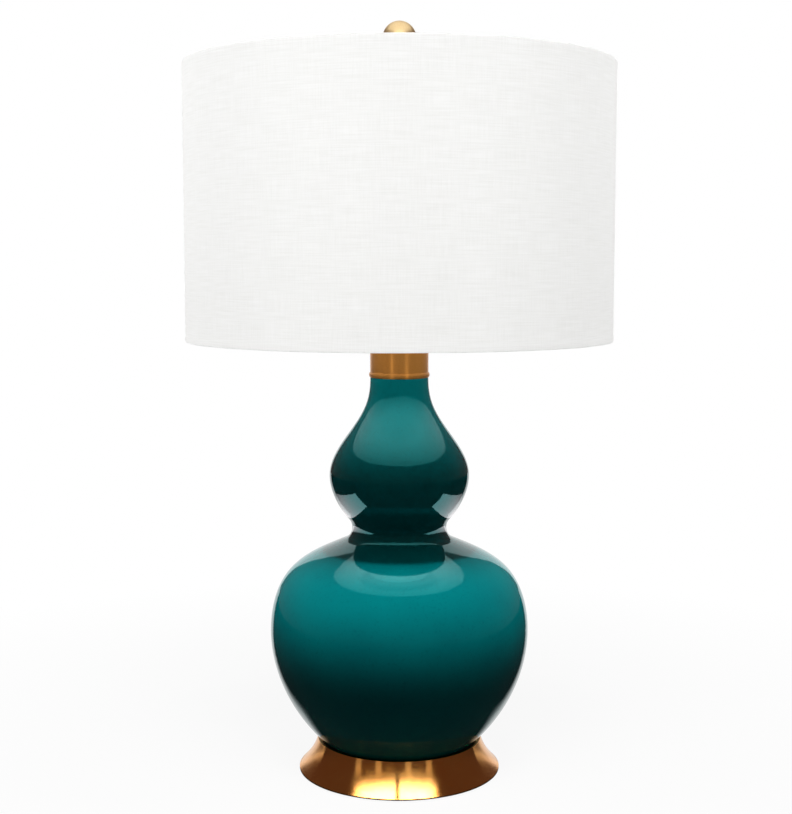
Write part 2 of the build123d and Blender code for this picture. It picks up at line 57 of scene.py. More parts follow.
# Ranges in the middle of a noise's values, over which a material goes from one look to another
NOISE_MIDDLE = (0.35, 0.65)
NOISE_WIDE = (0.3, 0.7)

# Camera, fitted to the two rims of the shade in the photo
CAMERA_PLACE = (-0.003, -1.2986, 0.4641)
CAMERA_TILT_DOWN = math.radians(5.706)
CAMERA_LENS_MM = 63.8
CAMERA_SENSOR_MM = 36.0

# White surroundings: the light that they shed, and the floor's white as the eye sees it, by distance
AMBIENT = 0.035
FLOOR_HALF_WIDTH = 2.4
FLOOR_SEEN = 0.93
FLOOR_FADE = (0.30, 0.80)

# The floor's white as mirrors see it: a patch behind the lamp, which widens to the back
FLOOR_MIRRORED = 0.9
FLOOR_MIRRORED_BEHIND = (0.0, 0.04)
FLOOR_MIRRORED_ACROSS = (0.11, 0.15)
FLOOR_MIRRORED_WIDENING = 0.5

# The floor's matte face, as the eye, mirrors and all else see it
FLOOR_MATTE = (0.95, 0.05, 0.08)

# Brown flags, which are seen only in mirrors: the wall and the roof share an opening at the back
FLAG_RADIUS = 2.8
FLAG_BOTTOM = -0.4
FLAG_TOP = 2.0
FLAG_OPENING = math.radians(23)
FLAG_ROOF_NOTCH = 1.5
FLAG_COLOUR = (0.11, 0.066, 0.06, 1.0)
FLAG_STEPS = 64

# Light under the shade, as radius and radiance: discs that add up in mirrors, and the glow that it sheds
MOUTH_DISCS = ((0.187, 0.6), (0.150, 0.21), (0.125, 0.21), (0.107, 0.26), (0.095, 0.26), (0.070, 0.85))
MOUTH_DISC_GAP = 1.0 * MM
MOUTH_GLOWS = ((0.085, 0.75), (0.065, 1.25))

# Two cards beside the waist, which face up, fade towards the back and show in the upper bulb's underside
CARD_HEIGHT = 0.215
CARD_ACROSS = (0.06, 0.13)
CARD_ALONG = (-0.058, 0.08)
CARD_FADE = (-0.05, 0.06)
CARD_RADIANCE = (3.2, 0.7)
CARD_COLOUR = (1.0, 0.85, 0.88, 1.0)

# Soft light from overhead on the lower bulb, with round flags that keep it off the upper one and the waist
OVERHEAD_RADIUS = 0.70
OVERHEAD_HEIGHT = 1.6
OVERHEAD_RADIANCE = 21.0
OVERHEAD_FLAGS = ((0.396, 0.13), (0.235, 0.081))
OVERHEAD_FLAG_STEPS = 96

# A ring of panels round the shade
SHADE_LIGHTS = 8
SHADE_LIGHT_LEVEL = 0.425
SHADE_LIGHT_SIDE_LOSS = 0.18
SHADE_LIGHT_LEFT_GAIN = 0.05
SHADE_LIGHT_DISTANCE = 1.6
SHADE_LIGHT_HEIGHT = 0.78
SHADE_LIGHT_SIZE = 0.8

# Light on the shade's edges and the felt from discs on the lamp's axis, which miss the drum's face
RIM_LIGHT_RADIUS = 0.15
RIM_LIGHT_DISTANCE = 1.6
RIM_LIGHT_LEVEL = 0.55

# What the brass mirrors: angles are in degrees to the right of the front
CEILING_HEIGHT = 1.55
CEILING_NEAR = 0.35
CEILING_FAR = 1.8
CEILING_FADE = (0.85, 1.4)
CEILING_RADIANCE = (16.0, 0.3)
CEILING_SECTORS = ((-72, -6.5), (0, 60))
CEILING_STEPS = 24
STRIP_DISTANCE = 1.5
STRIP_HEIGHT = 0.60
FOOT_STRIPS = (-56, -28, 12, 40)
FOOT_STRIP_MIDDLE = 0.60
FOOT_STRIP_WIDTH = 0.20
FOOT_STRIP_RADIANCE = 0.7
FOOT_SIDES = (-140, 140)
FOOT_SIDE_DISTANCE = 2.0
FOOT_SIDE_MIDDLE = 0.08
FOOT_SIDE_WIDTH = 1.5
FOOT_SIDE_HEIGHT = 0.18
FOOT_SIDE_RADIANCE = 1.3
CAP_GLOW_RADIUS = 0.187
CAP_GLOW_RADIANCE = 1.1
CAP_STRIPS = (-29, 29)
CAP_STRIP_MIDDLE = 0.30
CAP_STRIP_WIDTH = 0.10

# The cap's strips stand in front and, turned about the axis, behind: turn and radiance
CAP_STRIP_TURNS = ((0, 9.0), (180, 3.0))

# Soft light from above on the finial and into the shade, from the front on the finial, and inside the shade
TOP_SOFT_PLACE = (0.0, -0.6, 1.8)
TOP_SOFT_SIZE = 3.0
TOP_SOFT_RADIANCE = 1.0
FRONT_SOFT_PLACE = (0.0, -1.6, 1.0)
FRONT_SOFT_SIZE = 2.2
FRONT_SOFT_RADIANCE = 1.3
INNER_RADIUS = 0.15
INNER_RADIANCE = 0.8
INNER_MARGIN = 10 * MM

# A soft key for the floor and the small parts near it
KEY_ELEVATION = math.radians(62)
KEY_TARGET_HEIGHT = 0.2
KEY_DISTANCE = 2.2
KEY_SIZE = 0.8
KEY_LEVEL = 0.8

# How much finer a plain finish's grain is than its patches
PLAIN_FINENESS = 25

# Linen's threads, each drawn out along its own way
LINEN_RADIUS = 0.19
LINEN_THREADS = 900.0
LINEN_WEFT_STRETCH = 0.035
LINEN_WARP_STRETCH = 0.05

# Felt: a grain is the noise's scale on the level and upwards, and a corner is cut by shares of half the pad
FELT_STEPS_ROUND = 240
FELT_RINGS = 40
FELT_CORNER_IN = 0.3
FELT_CORNER_DOWN = 0.5
FELT_EDGE_WANDER = 0.35 * MM
FELT_EDGE_GRAIN = (400, 900)
FELT_EDGE_SHARPNESS = 20
FELT_FUZZ = 0.2 * MM
FELT_FUZZ_GRAIN = (900, 2000)

# Shade cloth: the hem's marks and fade are shares of its band, and the seam's fade one of its overlap
CLOTH_THICKNESS = 0.6 * MM
CLOTH_STEPS_ROUND = 720
CLOTH_FACE_STEPS = 24
HEM_DEPTH = 8.0 * MM
HEM_RETURN = 5.25 * MM
HEM_BAND = 4.6 * MM
HEM_MARKS = (0.4, 0.6, 0.8, 1.0, 1.2)
HEM_FADE = 0.4
HEM_RISE = 0.2 * MM
HEM_ROUND = 1.0 * MM
HEM_ROUND_STEPS = 4
HEM_WANDER = 0.2 * MM
HEM_WANDER_GRAIN = (4, 30)
SEAM_OVERLAP = 12.0 * MM
SEAM_RISE = 0.5 * MM
SEAM_FADE = 0.4


def tone(red, green, blue):
    """A colour given as 8-bit screen values, in the linear values that shaders take."""
    channels = []
    for value in (red, green, blue):
        share = value / 255
        channels.append(share / 12.92 if share <= 0.04045 else ((share + 0.055) / 1.055) ** 2.4)
    return (*channels, 1.0)


def put(tree, socket, value):
    """Set an input to a number or a colour, or link another node's output to it."""
    if isinstance(value, bpy.types.NodeSocket):
        tree.links.new(value, socket)
    else:
        socket.default_value = value


class Graph:
    """One material's nodes. An input takes a number, a colour or another node's output."""

    def __init__(self, name):
        self.material = bpy.data.materials.new(name)
        self.material.use_nodes = True
        self.tree = self.material.node_tree
        self.shader = self.tree.nodes["Principled BSDF"]

    def add(self, kind, inputs=None, **settings):
        node = self.tree.nodes.new("ShaderNode" + kind)
        for key, value in settings.items():
            setattr(node, key, value)
        for socket, value in (inputs or {}).items():
            put(self.tree, node.inputs[socket], value)
        return node

    def surface(self, **inputs):
        """Set the usual shader's inputs, whose spaces are written as underscores."""
        for name, value in inputs.items():
            put(self.tree, self.shader.inputs[name.replace("_", " ")], value)

    def only(self, shader):
        """Use another shader in place of the usual one."""
        self.tree.nodes.remove(self.shader)
        self.tree.links.new(shader.outputs[0], self.tree.nodes["Material Output"].inputs["Surface"])

    def front_only(self, shader):
        """Use another shader on the front of each face, and leave its back clear."""
        clear = self.add("BsdfTransparent")
        from_behind = self.add("NewGeometry").outputs["Backfacing"]
        self.only(self.add("MixShader", {0: from_behind, 1: shader.outputs[0], 2: clear.outputs[0]}))

    def math(self, operation, first, second=0.0, third=0.0):
        return self.add("Math", {0: first, 1: second, 2: third}, operation=operation).outputs[0]

    def blend(self, first, second, share):
        """A share of the first value, and the rest of the second."""
        part = self.math("MULTIPLY", first, share)
        rest = self.math("MULTIPLY", second, 1 - share)
        return self.math("ADD", part, rest)

    def place(self):
        return self.add("TexCoord").outputs["Object"]

    def coordinates(self):
        """The place's X, Y and Z, as separate outputs."""
        return self.add("SeparateXYZ", {"Vector": self.place()}).outputs

    def height(self):
        return self.coordinates()["Z"]

    def angle(self):
        """The angle about the lamp's axis."""
        place = self.coordinates()
        return self.math("ARCTAN2", place["Y"], place["X"])

    def distance(self):
        """The distance from the lamp's axis."""
        place = self.coordinates()
        squares = [self.math("MULTIPLY", place[way], place[way]) for way in ("X", "Y")]
        return self.math("SQRT", self.math("ADD", *squares))

    def scaled(self, vector, factors):
        return self.add("Mapping", {"Vector": vector, "Scale": factors}).outputs["Vector"]

    def vector(self, x=0.0, y=0.0, z=0.0):
        return self.add("CombineXYZ", {"X": x, "Y": y, "Z": z}).outputs["Vector"]

    def noise(self, vector, scale, detail=3.0, roughness=0.5):
        inputs = {"Vector": vector, "Scale": scale, "Detail": detail, "Roughness": roughness}
        return self.add("TexNoise", inputs).outputs["Fac"]

    def spread(self, factor, low, high, start=0.0, end=1.0):
        """A value that goes from low to high while the factor goes from start to end."""
        inputs = {"Value": factor, "From Min": start, "From Max": end, "To Min": low, "To Max": high}
        return self.add("MapRange", inputs).outputs["Result"]

    def uneven(self, factor, value, least, most):
        """A value that goes from one multiple of itself to another with a noise."""
        return self.spread(factor, value * least, value * most, *NOISE_WIDE)

    def mix(self, factor, first, second):
        start, end = MIX_COLOURS
        node = self.add("Mix", {MIX_FACTOR: factor, start: first, end: second}, data_type="RGBA")
        return node.outputs[MIXED_COLOUR]

    def tones(self, factor, dark, light):
        """A colour that goes from dark to light with a noise."""
        return self.mix(self.spread(factor, 0.0, 1.0, *NOISE_MIDDLE), dark, light)

    def bump(self, height, strength, distance=MM):
        inputs = {"Height": height, "Strength": strength, "Distance": distance}
        return self.add("Bump", inputs).outputs["Normal"]


def dress(material, *names):
    """Give CAD nodes a material in place of the plain one they came with."""
    for name in names:
        mesh = nodes[name].data
        mesh.materials.clear()
        mesh.materials.append(material)


def glaze():
    """Teal glaze: even in colour, a little cloudy, with the faint ripple of a fired surface."""
    graph = Graph("teal_glaze")
    place = graph.place()
    clouds = graph.noise(place, scale=22.0, detail=4.0)
    specks = graph.noise(place, scale=420.0, detail=2.0)
    peel = graph.noise(place, scale=160.0, detail=2.0)
    cloud_share = graph.spread(clouds, 0.0, 1.0, start=0.35, end=0.7)
    speck_share = graph.spread(specks, 0.0, 0.3, start=0.55, end=0.75)
    cloudy = graph.mix(cloud_share, tone(0, 116, 120), tone(0, 124, 127))
    graph.surface(
        Base_Color=graph.mix(speck_share, cloudy, tone(0, 92, 98)),
        Roughness=0.05,
        IOR=1.6,
        Specular_Tint=(0.15, 1.0, 1.0, 1.0),
        Normal=graph.bump(peel, strength=0.02),
    )
    return graph.material


def turned_brass(name, light, dark, roughness, line_depth, stretch=0.0):
    """Brass turned on a lathe: fine rings round the axis, which stretch each highlight across them."""
    graph = Graph(name)
    drift = graph.math("MULTIPLY", graph.angle(), 0.004)
    along = graph.math("ADD", graph.height(), graph.distance())
    rings = graph.noise(graph.vector(x=drift, z=along), scale=2600.0, detail=2.0)
    patches = graph.noise(graph.place(), scale=45.0, detail=4.0)
    graph.surface(
        Base_Color=graph.tones(graph.blend(rings, patches, share=0.4), dark, light),
        Metallic=1.0,
        Roughness=graph.uneven(patches, roughness, least=0.9, most=1.15),
        Anisotropic=stretch,
        Anisotropic_Rotation=0.25,
        Tangent=graph.add("Tangent", direction_type="RADIAL", axis="Z").outputs["Tangent"],
        Normal=graph.bump(rings, line_depth, distance=0.1 * MM),
    )
    return graph.material


def plain(name, colour, roughness, metallic=0.0, grain=60.0, contrast=0.12):
    """A small part's finish: one colour with a soft variation and a fine grain."""
    graph = Graph(name)
    place = graph.place()
    patches = graph.noise(place, scale=grain, detail=4.0)
    fine = graph.noise(place, scale=grain * PLAIN_FINENESS, detail=2.0)
    darker = tuple(channel * (1 - contrast) for channel in colour[:3]) + (1.0,)
    graph.surface(
        Base_Color=graph.tones(patches, darker, colour),
        Metallic=metallic,
        Roughness=graph.uneven(patches, roughness, least=0.85, most=1.15),
        Normal=graph.bump(fine, strength=0.05, distance=0.1 * MM),
    )
    return graph.material


def linen():
    """Off-white linen: uneven threads both ways, the weft a little heavier."""
    graph = Graph("linen")
    across = graph.math("MULTIPLY", graph.angle(), LINEN_RADIUS)
    height = graph.height()
    weft_place = graph.vector(x=graph.math("MULTIPLY", across, LINEN_WEFT_STRETCH), z=height)
    warp_place = graph.vector(x=across, z=graph.math("MULTIPLY", height, LINEN_WARP_STRETCH))
    weft = graph.noise(weft_place, scale=LINEN_THREADS, detail=2.0)
    warp = graph.noise(warp_place, scale=LINEN_THREADS, detail=2.0)
    threads = graph.blend(weft, warp, share=0.6)
    graph.surface(
        Base_Color=graph.tones(threads, tone(238, 238, 236), tone(246, 246, 245)),
        Roughness=0.9,
        Specular_IOR_Level=0.2,
        Sheen_Weight=0.1,
        Normal=graph.bump(threads, strength=0.25, distance=0.25 * MM),
    )
    return graph.material


def felt():
    """Wool felt: matted fibres with no direction."""
    graph = Graph("felt")
    place = graph.place()
    flattened = graph.scaled(place, (1.0, 1.0, 0.3))
    fibres = graph.noise(flattened, scale=1500.0, detail=5.0, roughness=0.7)
    clumps = graph.noise(place, scale=160.0, detail=3.0)
    matted = graph.blend(fibres, clumps, share=0.6)
    graph.surface(
        Base_Color=graph.tones(matted, tone(20, 24, 22), tone(46, 52, 48)),
        Roughness=0.95,
        Specular_IOR_Level=0.15,
        Sheen_Weight=0.4,
        Normal=graph.bump(matted, strength=0.6, distance=0.4 * MM),
    )
    return graph.material


def mesh_piece(name, points, faces, material, body):
    """A smooth visible piece that rides on one body."""
    mesh = bpy.data.meshes.new(name)
    mesh.from_pydata(points, [], faces)
    mesh.validate()
    mesh.materials.append(material)
    for polygon in mesh.polygons:
        polygon.use_smooth = True
    piece = bpy.data.objects.new(name, mesh)
    bpy.context.scene.collection.objects.link(piece)
    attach(piece, body)
    return piece


def turned_faces(rings, steps, closed):
    """Quads between rings of points, each ring going once round the axis."""
    faces = []
    spans = rings if closed else rings - 1
    for ring in range(spans):
        following = (ring + 1) % rings
        for step in range(steps):
            beside = (step + 1) % steps
            faces.append((ring * steps + step, ring * steps + beside,
                          following * steps + beside, following * steps + step))
    return faces


def grain_at(x, y, z, level_scale, upright_scale):
    """A noise from -1 to 1, with one scale on the level and one upwards."""
    return noise.noise(Vector((x * level_scale, y * level_scale, z * upright_scale)))


def arc(centre, radius, start, end, steps):
    """Points on an arc of a section, from one angle to another in degrees."""
    points = []
    for step in range(steps + 1):
        angle = math.radians(start + (end - start) * step / steps)
        points.append((centre[0] + radius * math.cos(angle), centre[1] + radius * math.sin(angle)))
    return points


def cloth_outline(radius, bottom, top):
    """The cloth's section: down inside the lower hem, out, up the face, in and down inside the upper hem."""
    inner = radius - HEM_RETURN
    low = [(inner, bottom + HEM_DEPTH)]
    low += arc((inner + HEM_ROUND, bottom + HEM_ROUND), HEM_ROUND, 180, 270, HEM_ROUND_STEPS)
    low += arc((radius - HEM_ROUND, bottom + HEM_ROUND), HEM_ROUND, 270, 360, HEM_ROUND_STEPS)
    low += [(radius, bottom + HEM_BAND * mark) for mark in HEM_MARKS]
    face_low = bottom + HEM_BAND * (1 + HEM_FADE)
    face_high = top - HEM_BAND * (1 + HEM_FADE)
    rise = (face_high - face_low) / CLOTH_FACE_STEPS
    face = [(radius, face_low + rise * step) for step in range(CLOTH_FACE_STEPS + 1)]
    high = [(radial, bottom + top - height) for radial, height in reversed(low)]
    return low + face + high


def hem_bulge(from_edge):
    """How far the doubled cloth of a hem stands out from the face."""
    past = (from_edge - HEM_BAND) / (HEM_FADE * HEM_BAND)
    return HEM_RISE * (1.0 - min(1.0, max(0.0, past)))


def seam_lift(angle, radius):
    """How far the cloth's end stands out where it overlaps its start, at the back."""
    past = (angle - math.pi / 2) * radius
    if -SEAM_OVERLAP <= past <= 0:
        return SEAM_RISE * min(1.0, (past + SEAM_OVERLAP) / (SEAM_FADE * SEAM_OVERLAP))
    return 0.0


def shade_cloth(material):
    """The drum: a strip of linen round the shade, its end lapped over its start and its edges turned in."""
    low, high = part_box("shade_cloth")
    radius, bottom, top = high.x, low.z, high.z
    section = [Vector(point) for point in cloth_outline(radius, bottom, top)]
    inward = []
    for index, point in enumerate(section):
        before = section[max(index - 1, 0)]
        after = section[min(index + 1, len(section) - 1)]
        way = (after - before).normalized()
        inward.append(point + Vector((-way.y, way.x)) * CLOTH_THICKNESS)
    loop = section + list(reversed(inward))
    points = []
    for radial, height in loop:
        from_edge = min(height - bottom, top - height)
        outside = radial > radius - 0.5 * HEM_RETURN
        bulge = hem_bulge(from_edge) if outside else 0.0
        edge_share = max(0.0, 1.0 - from_edge / (2 * HEM_BAND))
        for step in range(CLOTH_STEPS_ROUND):
            angle = 2 * math.pi * step / CLOTH_STEPS_ROUND
            x, y = math.cos(angle), math.sin(angle)
            wander = grain_at(x, y, height, *HEM_WANDER_GRAIN) * HEM_WANDER * edge_share
            lift = seam_lift(angle, radius) if outside else 0.0
            reach = radial + bulge + wander + lift
            points.append((reach * x, reach * y, height + wander))
    faces = turned_faces(len(loop), CLOTH_STEPS_ROUND, closed=True)
    piece = mesh_piece("linen_drum", points, faces, material, "shade")
    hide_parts("shade_cloth")
    return piece


def felt_disc(material):
    """The pad under the foot: a disc of felt with a cut edge that is a little uneven."""
    low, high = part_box("felt_pad")
    radius, half = high.x, high.z / 2
    steps = FELT_STEPS_ROUND
    upper = [(radius * ring / FELT_RINGS, high.z) for ring in range(1, FELT_RINGS)]
    upper.append((radius - half * FELT_CORNER_IN, high.z))
    lower = [(radial, low.z) for radial, height in reversed(upper)]
    corner = half * FELT_CORNER_DOWN
    section = upper + [(radius, high.z - corner), (radius, low.z + corner)] + lower
    points = []
    for radial, height in section:
        edge_share = (radial / radius) ** FELT_EDGE_SHARPNESS
        for step in range(steps):
            angle = 2 * math.pi * step / steps
            x, y = radial * math.cos(angle), radial * math.sin(angle)
            uneven = abs(grain_at(x, y, height, *FELT_EDGE_GRAIN))
            shrink = 1 - uneven * FELT_EDGE_WANDER / radius * edge_share
            fuzz = abs(grain_at(x, y, height, *FELT_FUZZ_GRAIN)) * FELT_FUZZ
            inward = fuzz if height < half else -fuzz
            points.append((x * shrink, y * shrink, height + inward))
    faces = turned_faces(len(section), steps, closed=False)
    top_middle, bottom_middle = len(points), len(points) + 1
    points += [(0.0, 0.0, high.z), (0.0, 0.0, low.z)]
    last = (len(section) - 1) * steps
    for step in range(steps):
        beside = (step + 1) % steps
        faces.append((beside, step, top_middle))
        faces.append((last + step, last + beside, bottom_middle))
    piece = mesh_piece("felt_disc", points, faces, material, "base")
    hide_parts("felt_pad")
    return piece


def light_path_share(tree, seen, mirrored, otherwise):
    """One level for rays that see a surface directly, one for mirrors and glass, and one for the rest."""
    path = tree.nodes.new("ShaderNodeLightPath")
    either = tree.nodes.new("ShaderNodeMath")
    either.operation = "MAXIMUM"
    tree.links.new(path.outputs["Is Glossy Ray"], either.inputs[0])
    tree.links.new(path.outputs["Is Transmission Ray"], either.inputs[1])
    level = otherwise
    for switch, value in ((either.outputs[0], mirrored), (path.outputs["Is Camera Ray"], seen)):
        choice = tree.nodes.new("ShaderNodeMix")
        tree.links.new(switch, choice.inputs[MIX_FACTOR])
        for number, source in zip(MIX_NUMBERS, (level, value)):
            put(tree, choice.inputs[number], source)
        level = choice.outputs[MIXED_NUMBER]
    return level


def studio_world():
    """White all round to the eye and to mirrors, which sheds only a little light."""
    world = bpy.data.worlds.new("studio")
    bpy.context.scene.world = world
    world.use_nodes = True
    tree = world.node_tree
    background = tree.nodes["Background"]
    background.inputs["Color"].default_value = WHITE
    strength = light_path_share(tree, seen=1.0, mirrored=1.0, otherwise=AMBIENT)
    tree.links.new(strength, background.inputs["Strength"])


def stage_mesh(name, points, faces, material):
    """A piece of the studio, which isn't part of the lamp."""
    mesh = bpy.data.meshes.new(name)
    mesh.from_pydata(points, [], faces)
    mesh.materials.append(material)
    piece = bpy.data.objects.new(name, mesh)
    bpy.context.scene.collection.objects.link(piece)
    return piece


def floor_paper():
    """White paper: a glow that the eye and mirrors see, over a matte face that takes the shadow.

    It has one face: from below it is clear, so that the lamp's underside shows."""
    graph = Graph("floor_paper")
    seen = graph.spread(graph.distance(), FLOOR_SEEN, 1.0, *FLOOR_FADE)
    place = graph.coordinates()
    behind = graph.spread(place["Y"], 0.0, FLOOR_MIRRORED, *FLOOR_MIRRORED_BEHIND)
    widened = graph.math("MULTIPLY", place["Y"], FLOOR_MIRRORED_WIDENING)
    past_edge = graph.math("SUBTRACT", graph.math("ABSOLUTE", place["X"]), widened)
    across = graph.spread(past_edge, 1.0, 0.0, *FLOOR_MIRRORED_ACROSS)
    mirrored = graph.math("MULTIPLY", behind, across)
    glow = graph.add("Emission", {"Color": WHITE, "Strength": 1.0})
    matte = graph.add("BsdfDiffuse", {"Color": light_path_share(graph.tree, *FLOOR_MATTE)})
    share = light_path_share(graph.tree, seen, mirrored, otherwise=0.0)
    graph.front_only(graph.add("MixShader", {0: share, 1: matte.outputs[0], 2: glow.outputs[0]}))
    return graph.material


def studio_floor():
    reach = FLOOR_HALF_WIDTH
    corners = [(-reach, -reach, 0.0), (reach, -reach, 0.0), (reach, reach, 0.0), (-reach, reach, 0.0)]
    return stage_mesh("floor", corners, [(0, 1, 2, 3)], floor_paper())


def flag_cloth():
    graph = Graph("flag_cloth")
    graph.only(graph.add("Emission", {"Color": FLAG_COLOUR, "Strength": 1.0}))
    return graph.material


def unseen(piece, mirrored=False, shadow=False):
    """Hide a stage piece from the eye, and leave it to mirrors or to shadows."""
    piece.visible_camera = False
    piece.visible_diffuse = False
    piece.visible_transmission = False
    piece.visible_glossy = mirrored
    piece.visible_shadow = shadow


def studio_flags():
    """Dim cloth round the lamp and overhead, seen only in reflections."""
    material = flag_cloth()
    points = []
    for step in range(FLAG_STEPS + 1):
        angle = math.pi / 2 + FLAG_OPENING + (2 * math.pi - 2 * FLAG_OPENING) * step / FLAG_STEPS
        x, y = FLAG_RADIUS * math.cos(angle), FLAG_RADIUS * math.sin(angle)
        points += [(x, y, FLAG_BOTTOM), (x, y, FLAG_TOP)]
    faces = [(2 * step, 2 * step + 2, 2 * step + 3, 2 * step + 1) for step in range(FLAG_STEPS)]
    wall = stage_mesh("flag_wall", points, faces, material)
    reach, notch = FLAG_RADIUS, FLAG_ROOF_NOTCH
    widening = math.tan(FLAG_OPENING)
    edge = [(-reach, -reach), (reach, -reach), (reach, reach),
            (reach * widening, reach), (notch * widening, notch), (-notch * widening, notch),
            (-reach * widening, reach), (-reach, reach)]
    corners = [(x, y, FLAG_TOP) for x, y in edge]
    roof = stage_mesh("flag_roof", corners, [tuple(range(len(corners)))], material)
    for flag in (wall, roof):
        unseen(flag, mirrored=True)


def group(name, pieces):
    """A set of pieces that a light can be kept to."""
    collection = bpy.data.collections.new(name)
    for piece in pieces:
        collection.objects.link(piece)
    return collection


def area_light(name, place, target, width, depth, radiance, receivers=None):
    """A flat panel of light that faces a point, of a given radiance, for all pieces or for some."""
    data = bpy.data.lights.new(name, "AREA")
    data.shape = "RECTANGLE"
    data.size = width
    data.size_y = depth
    data.energy = radiance * math.pi * width * depth
    panel = bpy.data.objects.new(name, data)
    panel.location = place
    panel.rotation_euler = (Vector(target) - Vector(place)).to_track_quat("-Z", "Y").to_euler()
    panel.visible_camera = False
    if receivers:
        panel.light_linking.receiver_collection = receivers
    bpy.context.scene.collection.objects.link(panel)
    return panel


def disc_light(name, height, radius, radiance, up=False, receivers=None):
    """A level disc of light on the lamp's axis, which faces down or up."""
    target = (0.0, 0.0, height + (1.0 if up else -1.0))
    disc = area_light(name, (0.0, 0.0, height), target, 2 * radius, 2 * radius, radiance, receivers)
    disc.data.shape = "DISK"
    disc.data.energy *= math.pi / 4
    return disc


def upright_panel(name, place, width, height, radiance, receivers):
    """A panel that stands beside the lamp and faces its axis."""
    area_light(name, place, (0.0, 0.0, place[2]), width, height, radiance, receivers)


def level_radiance(level, distance, size):
    """The radiance of a square panel that lights what faces it at a level, where 1 is white."""
    return level * math.pi * (distance / size) ** 2


def toward(angle, distance, height):
    """A place at an angle in degrees to the right of the front, seen from above."""
    way = math.radians(angle)
    return (distance * math.sin(way), -distance * math.cos(way), height)


def clear_glow(graph, strength, colour=WHITE):
    """A glow that other light passes through."""
    glow = graph.add("Emission", {"Color": colour, "Strength": strength})
    clear = graph.add("BsdfTransparent")
    return graph.add("AddShader", {0: glow.outputs[0], 1: clear.outputs[0]})


def mirrored_sheet(name, points, faces, material, receivers):
    """A sheet that only the mirrors of some pieces see."""
    sheet = stage_mesh(name, points, faces, material)
    unseen(sheet, mirrored=True)
    sheet.light_linking.receiver_collection = receivers


def waist_card(name, left, right, receivers):
    """A level card that glows on its upper face, less towards the back."""
    graph = Graph(name)
    strength = graph.spread(graph.coordinates()["Y"], *CARD_RADIANCE, *CARD_FADE)
    graph.front_only(clear_glow(graph, strength, CARD_COLOUR))
    front, back = CARD_ALONG
    edge = ((left, front), (right, front), (right, back), (left, back))
    corners = [(x, y, CARD_HEIGHT) for x, y in edge]
    mirrored_sheet(name, corners, [(0, 1, 2, 3)], graph.material, receivers)


def mouth_lights(mouth, gourd):
    """What the shade's mouth shows to mirrors, the glow that it sheds, and the cards beside the waist."""
    for number, (radius, radiance) in enumerate(MOUTH_DISCS):
        height = mouth - number * MOUTH_DISC_GAP
        disc = disc_light(f"mouth_{number}", height, radius, radiance, receivers=gourd)
        disc.visible_diffuse = False
    for number, (radius, radiance) in enumerate(MOUTH_GLOWS):
        glow = disc_light(f"mouth_glow_{number}", mouth, radius, radiance, receivers=gourd)
        glow.light_linking.blocker_collection = gourd
        glow.visible_glossy = False
    near, far = CARD_ACROSS
    waist_card("card_left", -far, -near, gourd)
    waist_card("card_right", near, far, gourd)


def overhead_light(gourd):
    """A broad soft light above the lamp, which shades the lower bulb from its shoulder down."""
    steps = OVERHEAD_FLAG_STEPS
    blockers = [nodes["gourd_body"], nodes["neck_cap"]]
    for number, (height, radius) in enumerate(OVERHEAD_FLAGS):
        rim = []
        for step in range(steps):
            angle = 2 * math.pi * step / steps
            rim.append((radius * math.cos(angle), radius * math.sin(angle), height))
        flag = stage_mesh(f"overhead_flag_{number}", rim, [tuple(range(steps))], flag_cloth())
        unseen(flag, shadow=True)
        blockers.append(flag)
    light = disc_light("overhead", OVERHEAD_HEIGHT, OVERHEAD_RADIUS, OVERHEAD_RADIANCE, receivers=gourd)
    light.light_linking.blocker_collection = group("overhead_blockers", blockers)
    light.visible_glossy = False


def shade_lights(cloth):
    """A ring of panels that light the linen evenly all round."""
    receivers = group("under_shade_lights", [cloth])
    for step in range(SHADE_LIGHTS):
        angle = 2 * math.pi * step / SHADE_LIGHTS
        x, y = math.cos(angle), math.sin(angle)
        level = SHADE_LIGHT_LEVEL * (1 - SHADE_LIGHT_SIDE_LOSS * x * x - SHADE_LIGHT_LEFT_GAIN * x)
        place = (SHADE_LIGHT_DISTANCE * x, SHADE_LIGHT_DISTANCE * y, SHADE_LIGHT_HEIGHT)
        radiance = level_radiance(level, SHADE_LIGHT_DISTANCE, SHADE_LIGHT_SIZE)
        upright_panel(f"shade_light_{step}", place, SHADE_LIGHT_SIZE, SHADE_LIGHT_SIZE, radiance, receivers)


def rim_lights(cloth, felt_pad, mouth, crown):
    """Discs on the axis, above and below the lamp, which light the shade's edges and the felt."""
    edges = group("under_rim_lights", [cloth, felt_pad])
    radius, away = RIM_LIGHT_RADIUS, RIM_LIGHT_DISTANCE
    radiance = RIM_LIGHT_LEVEL * (away / radius) ** 2
    above = disc_light("rim_above", crown + away, radius, radiance, receivers=edges)
    below = disc_light("rim_below", mouth - away, radius, radiance, up=True, receivers=edges)
    for light in (above, below):
        light.light_linking.blocker_collection = edges


def ceiling_sector(name, start, end, receivers):
    """A level sector of light overhead, brightest near the lamp's axis, which mirrors alone see."""
    graph = Graph(name)
    strength = graph.spread(graph.distance(), *CEILING_RADIANCE, *CEILING_FADE)
    graph.only(clear_glow(graph, strength))
    points = []
    for step in range(CEILING_STEPS + 1):
        angle = start + (end - start) * step / CEILING_STEPS
        for radius in (CEILING_NEAR, CEILING_FAR):
            points.append(toward(angle, radius, CEILING_HEIGHT))
    faces = [(2 * step, 2 * step + 1, 2 * step + 3, 2 * step + 2) for step in range(CEILING_STEPS)]
    mirrored_sheet(name, points, faces, graph.material, receivers)


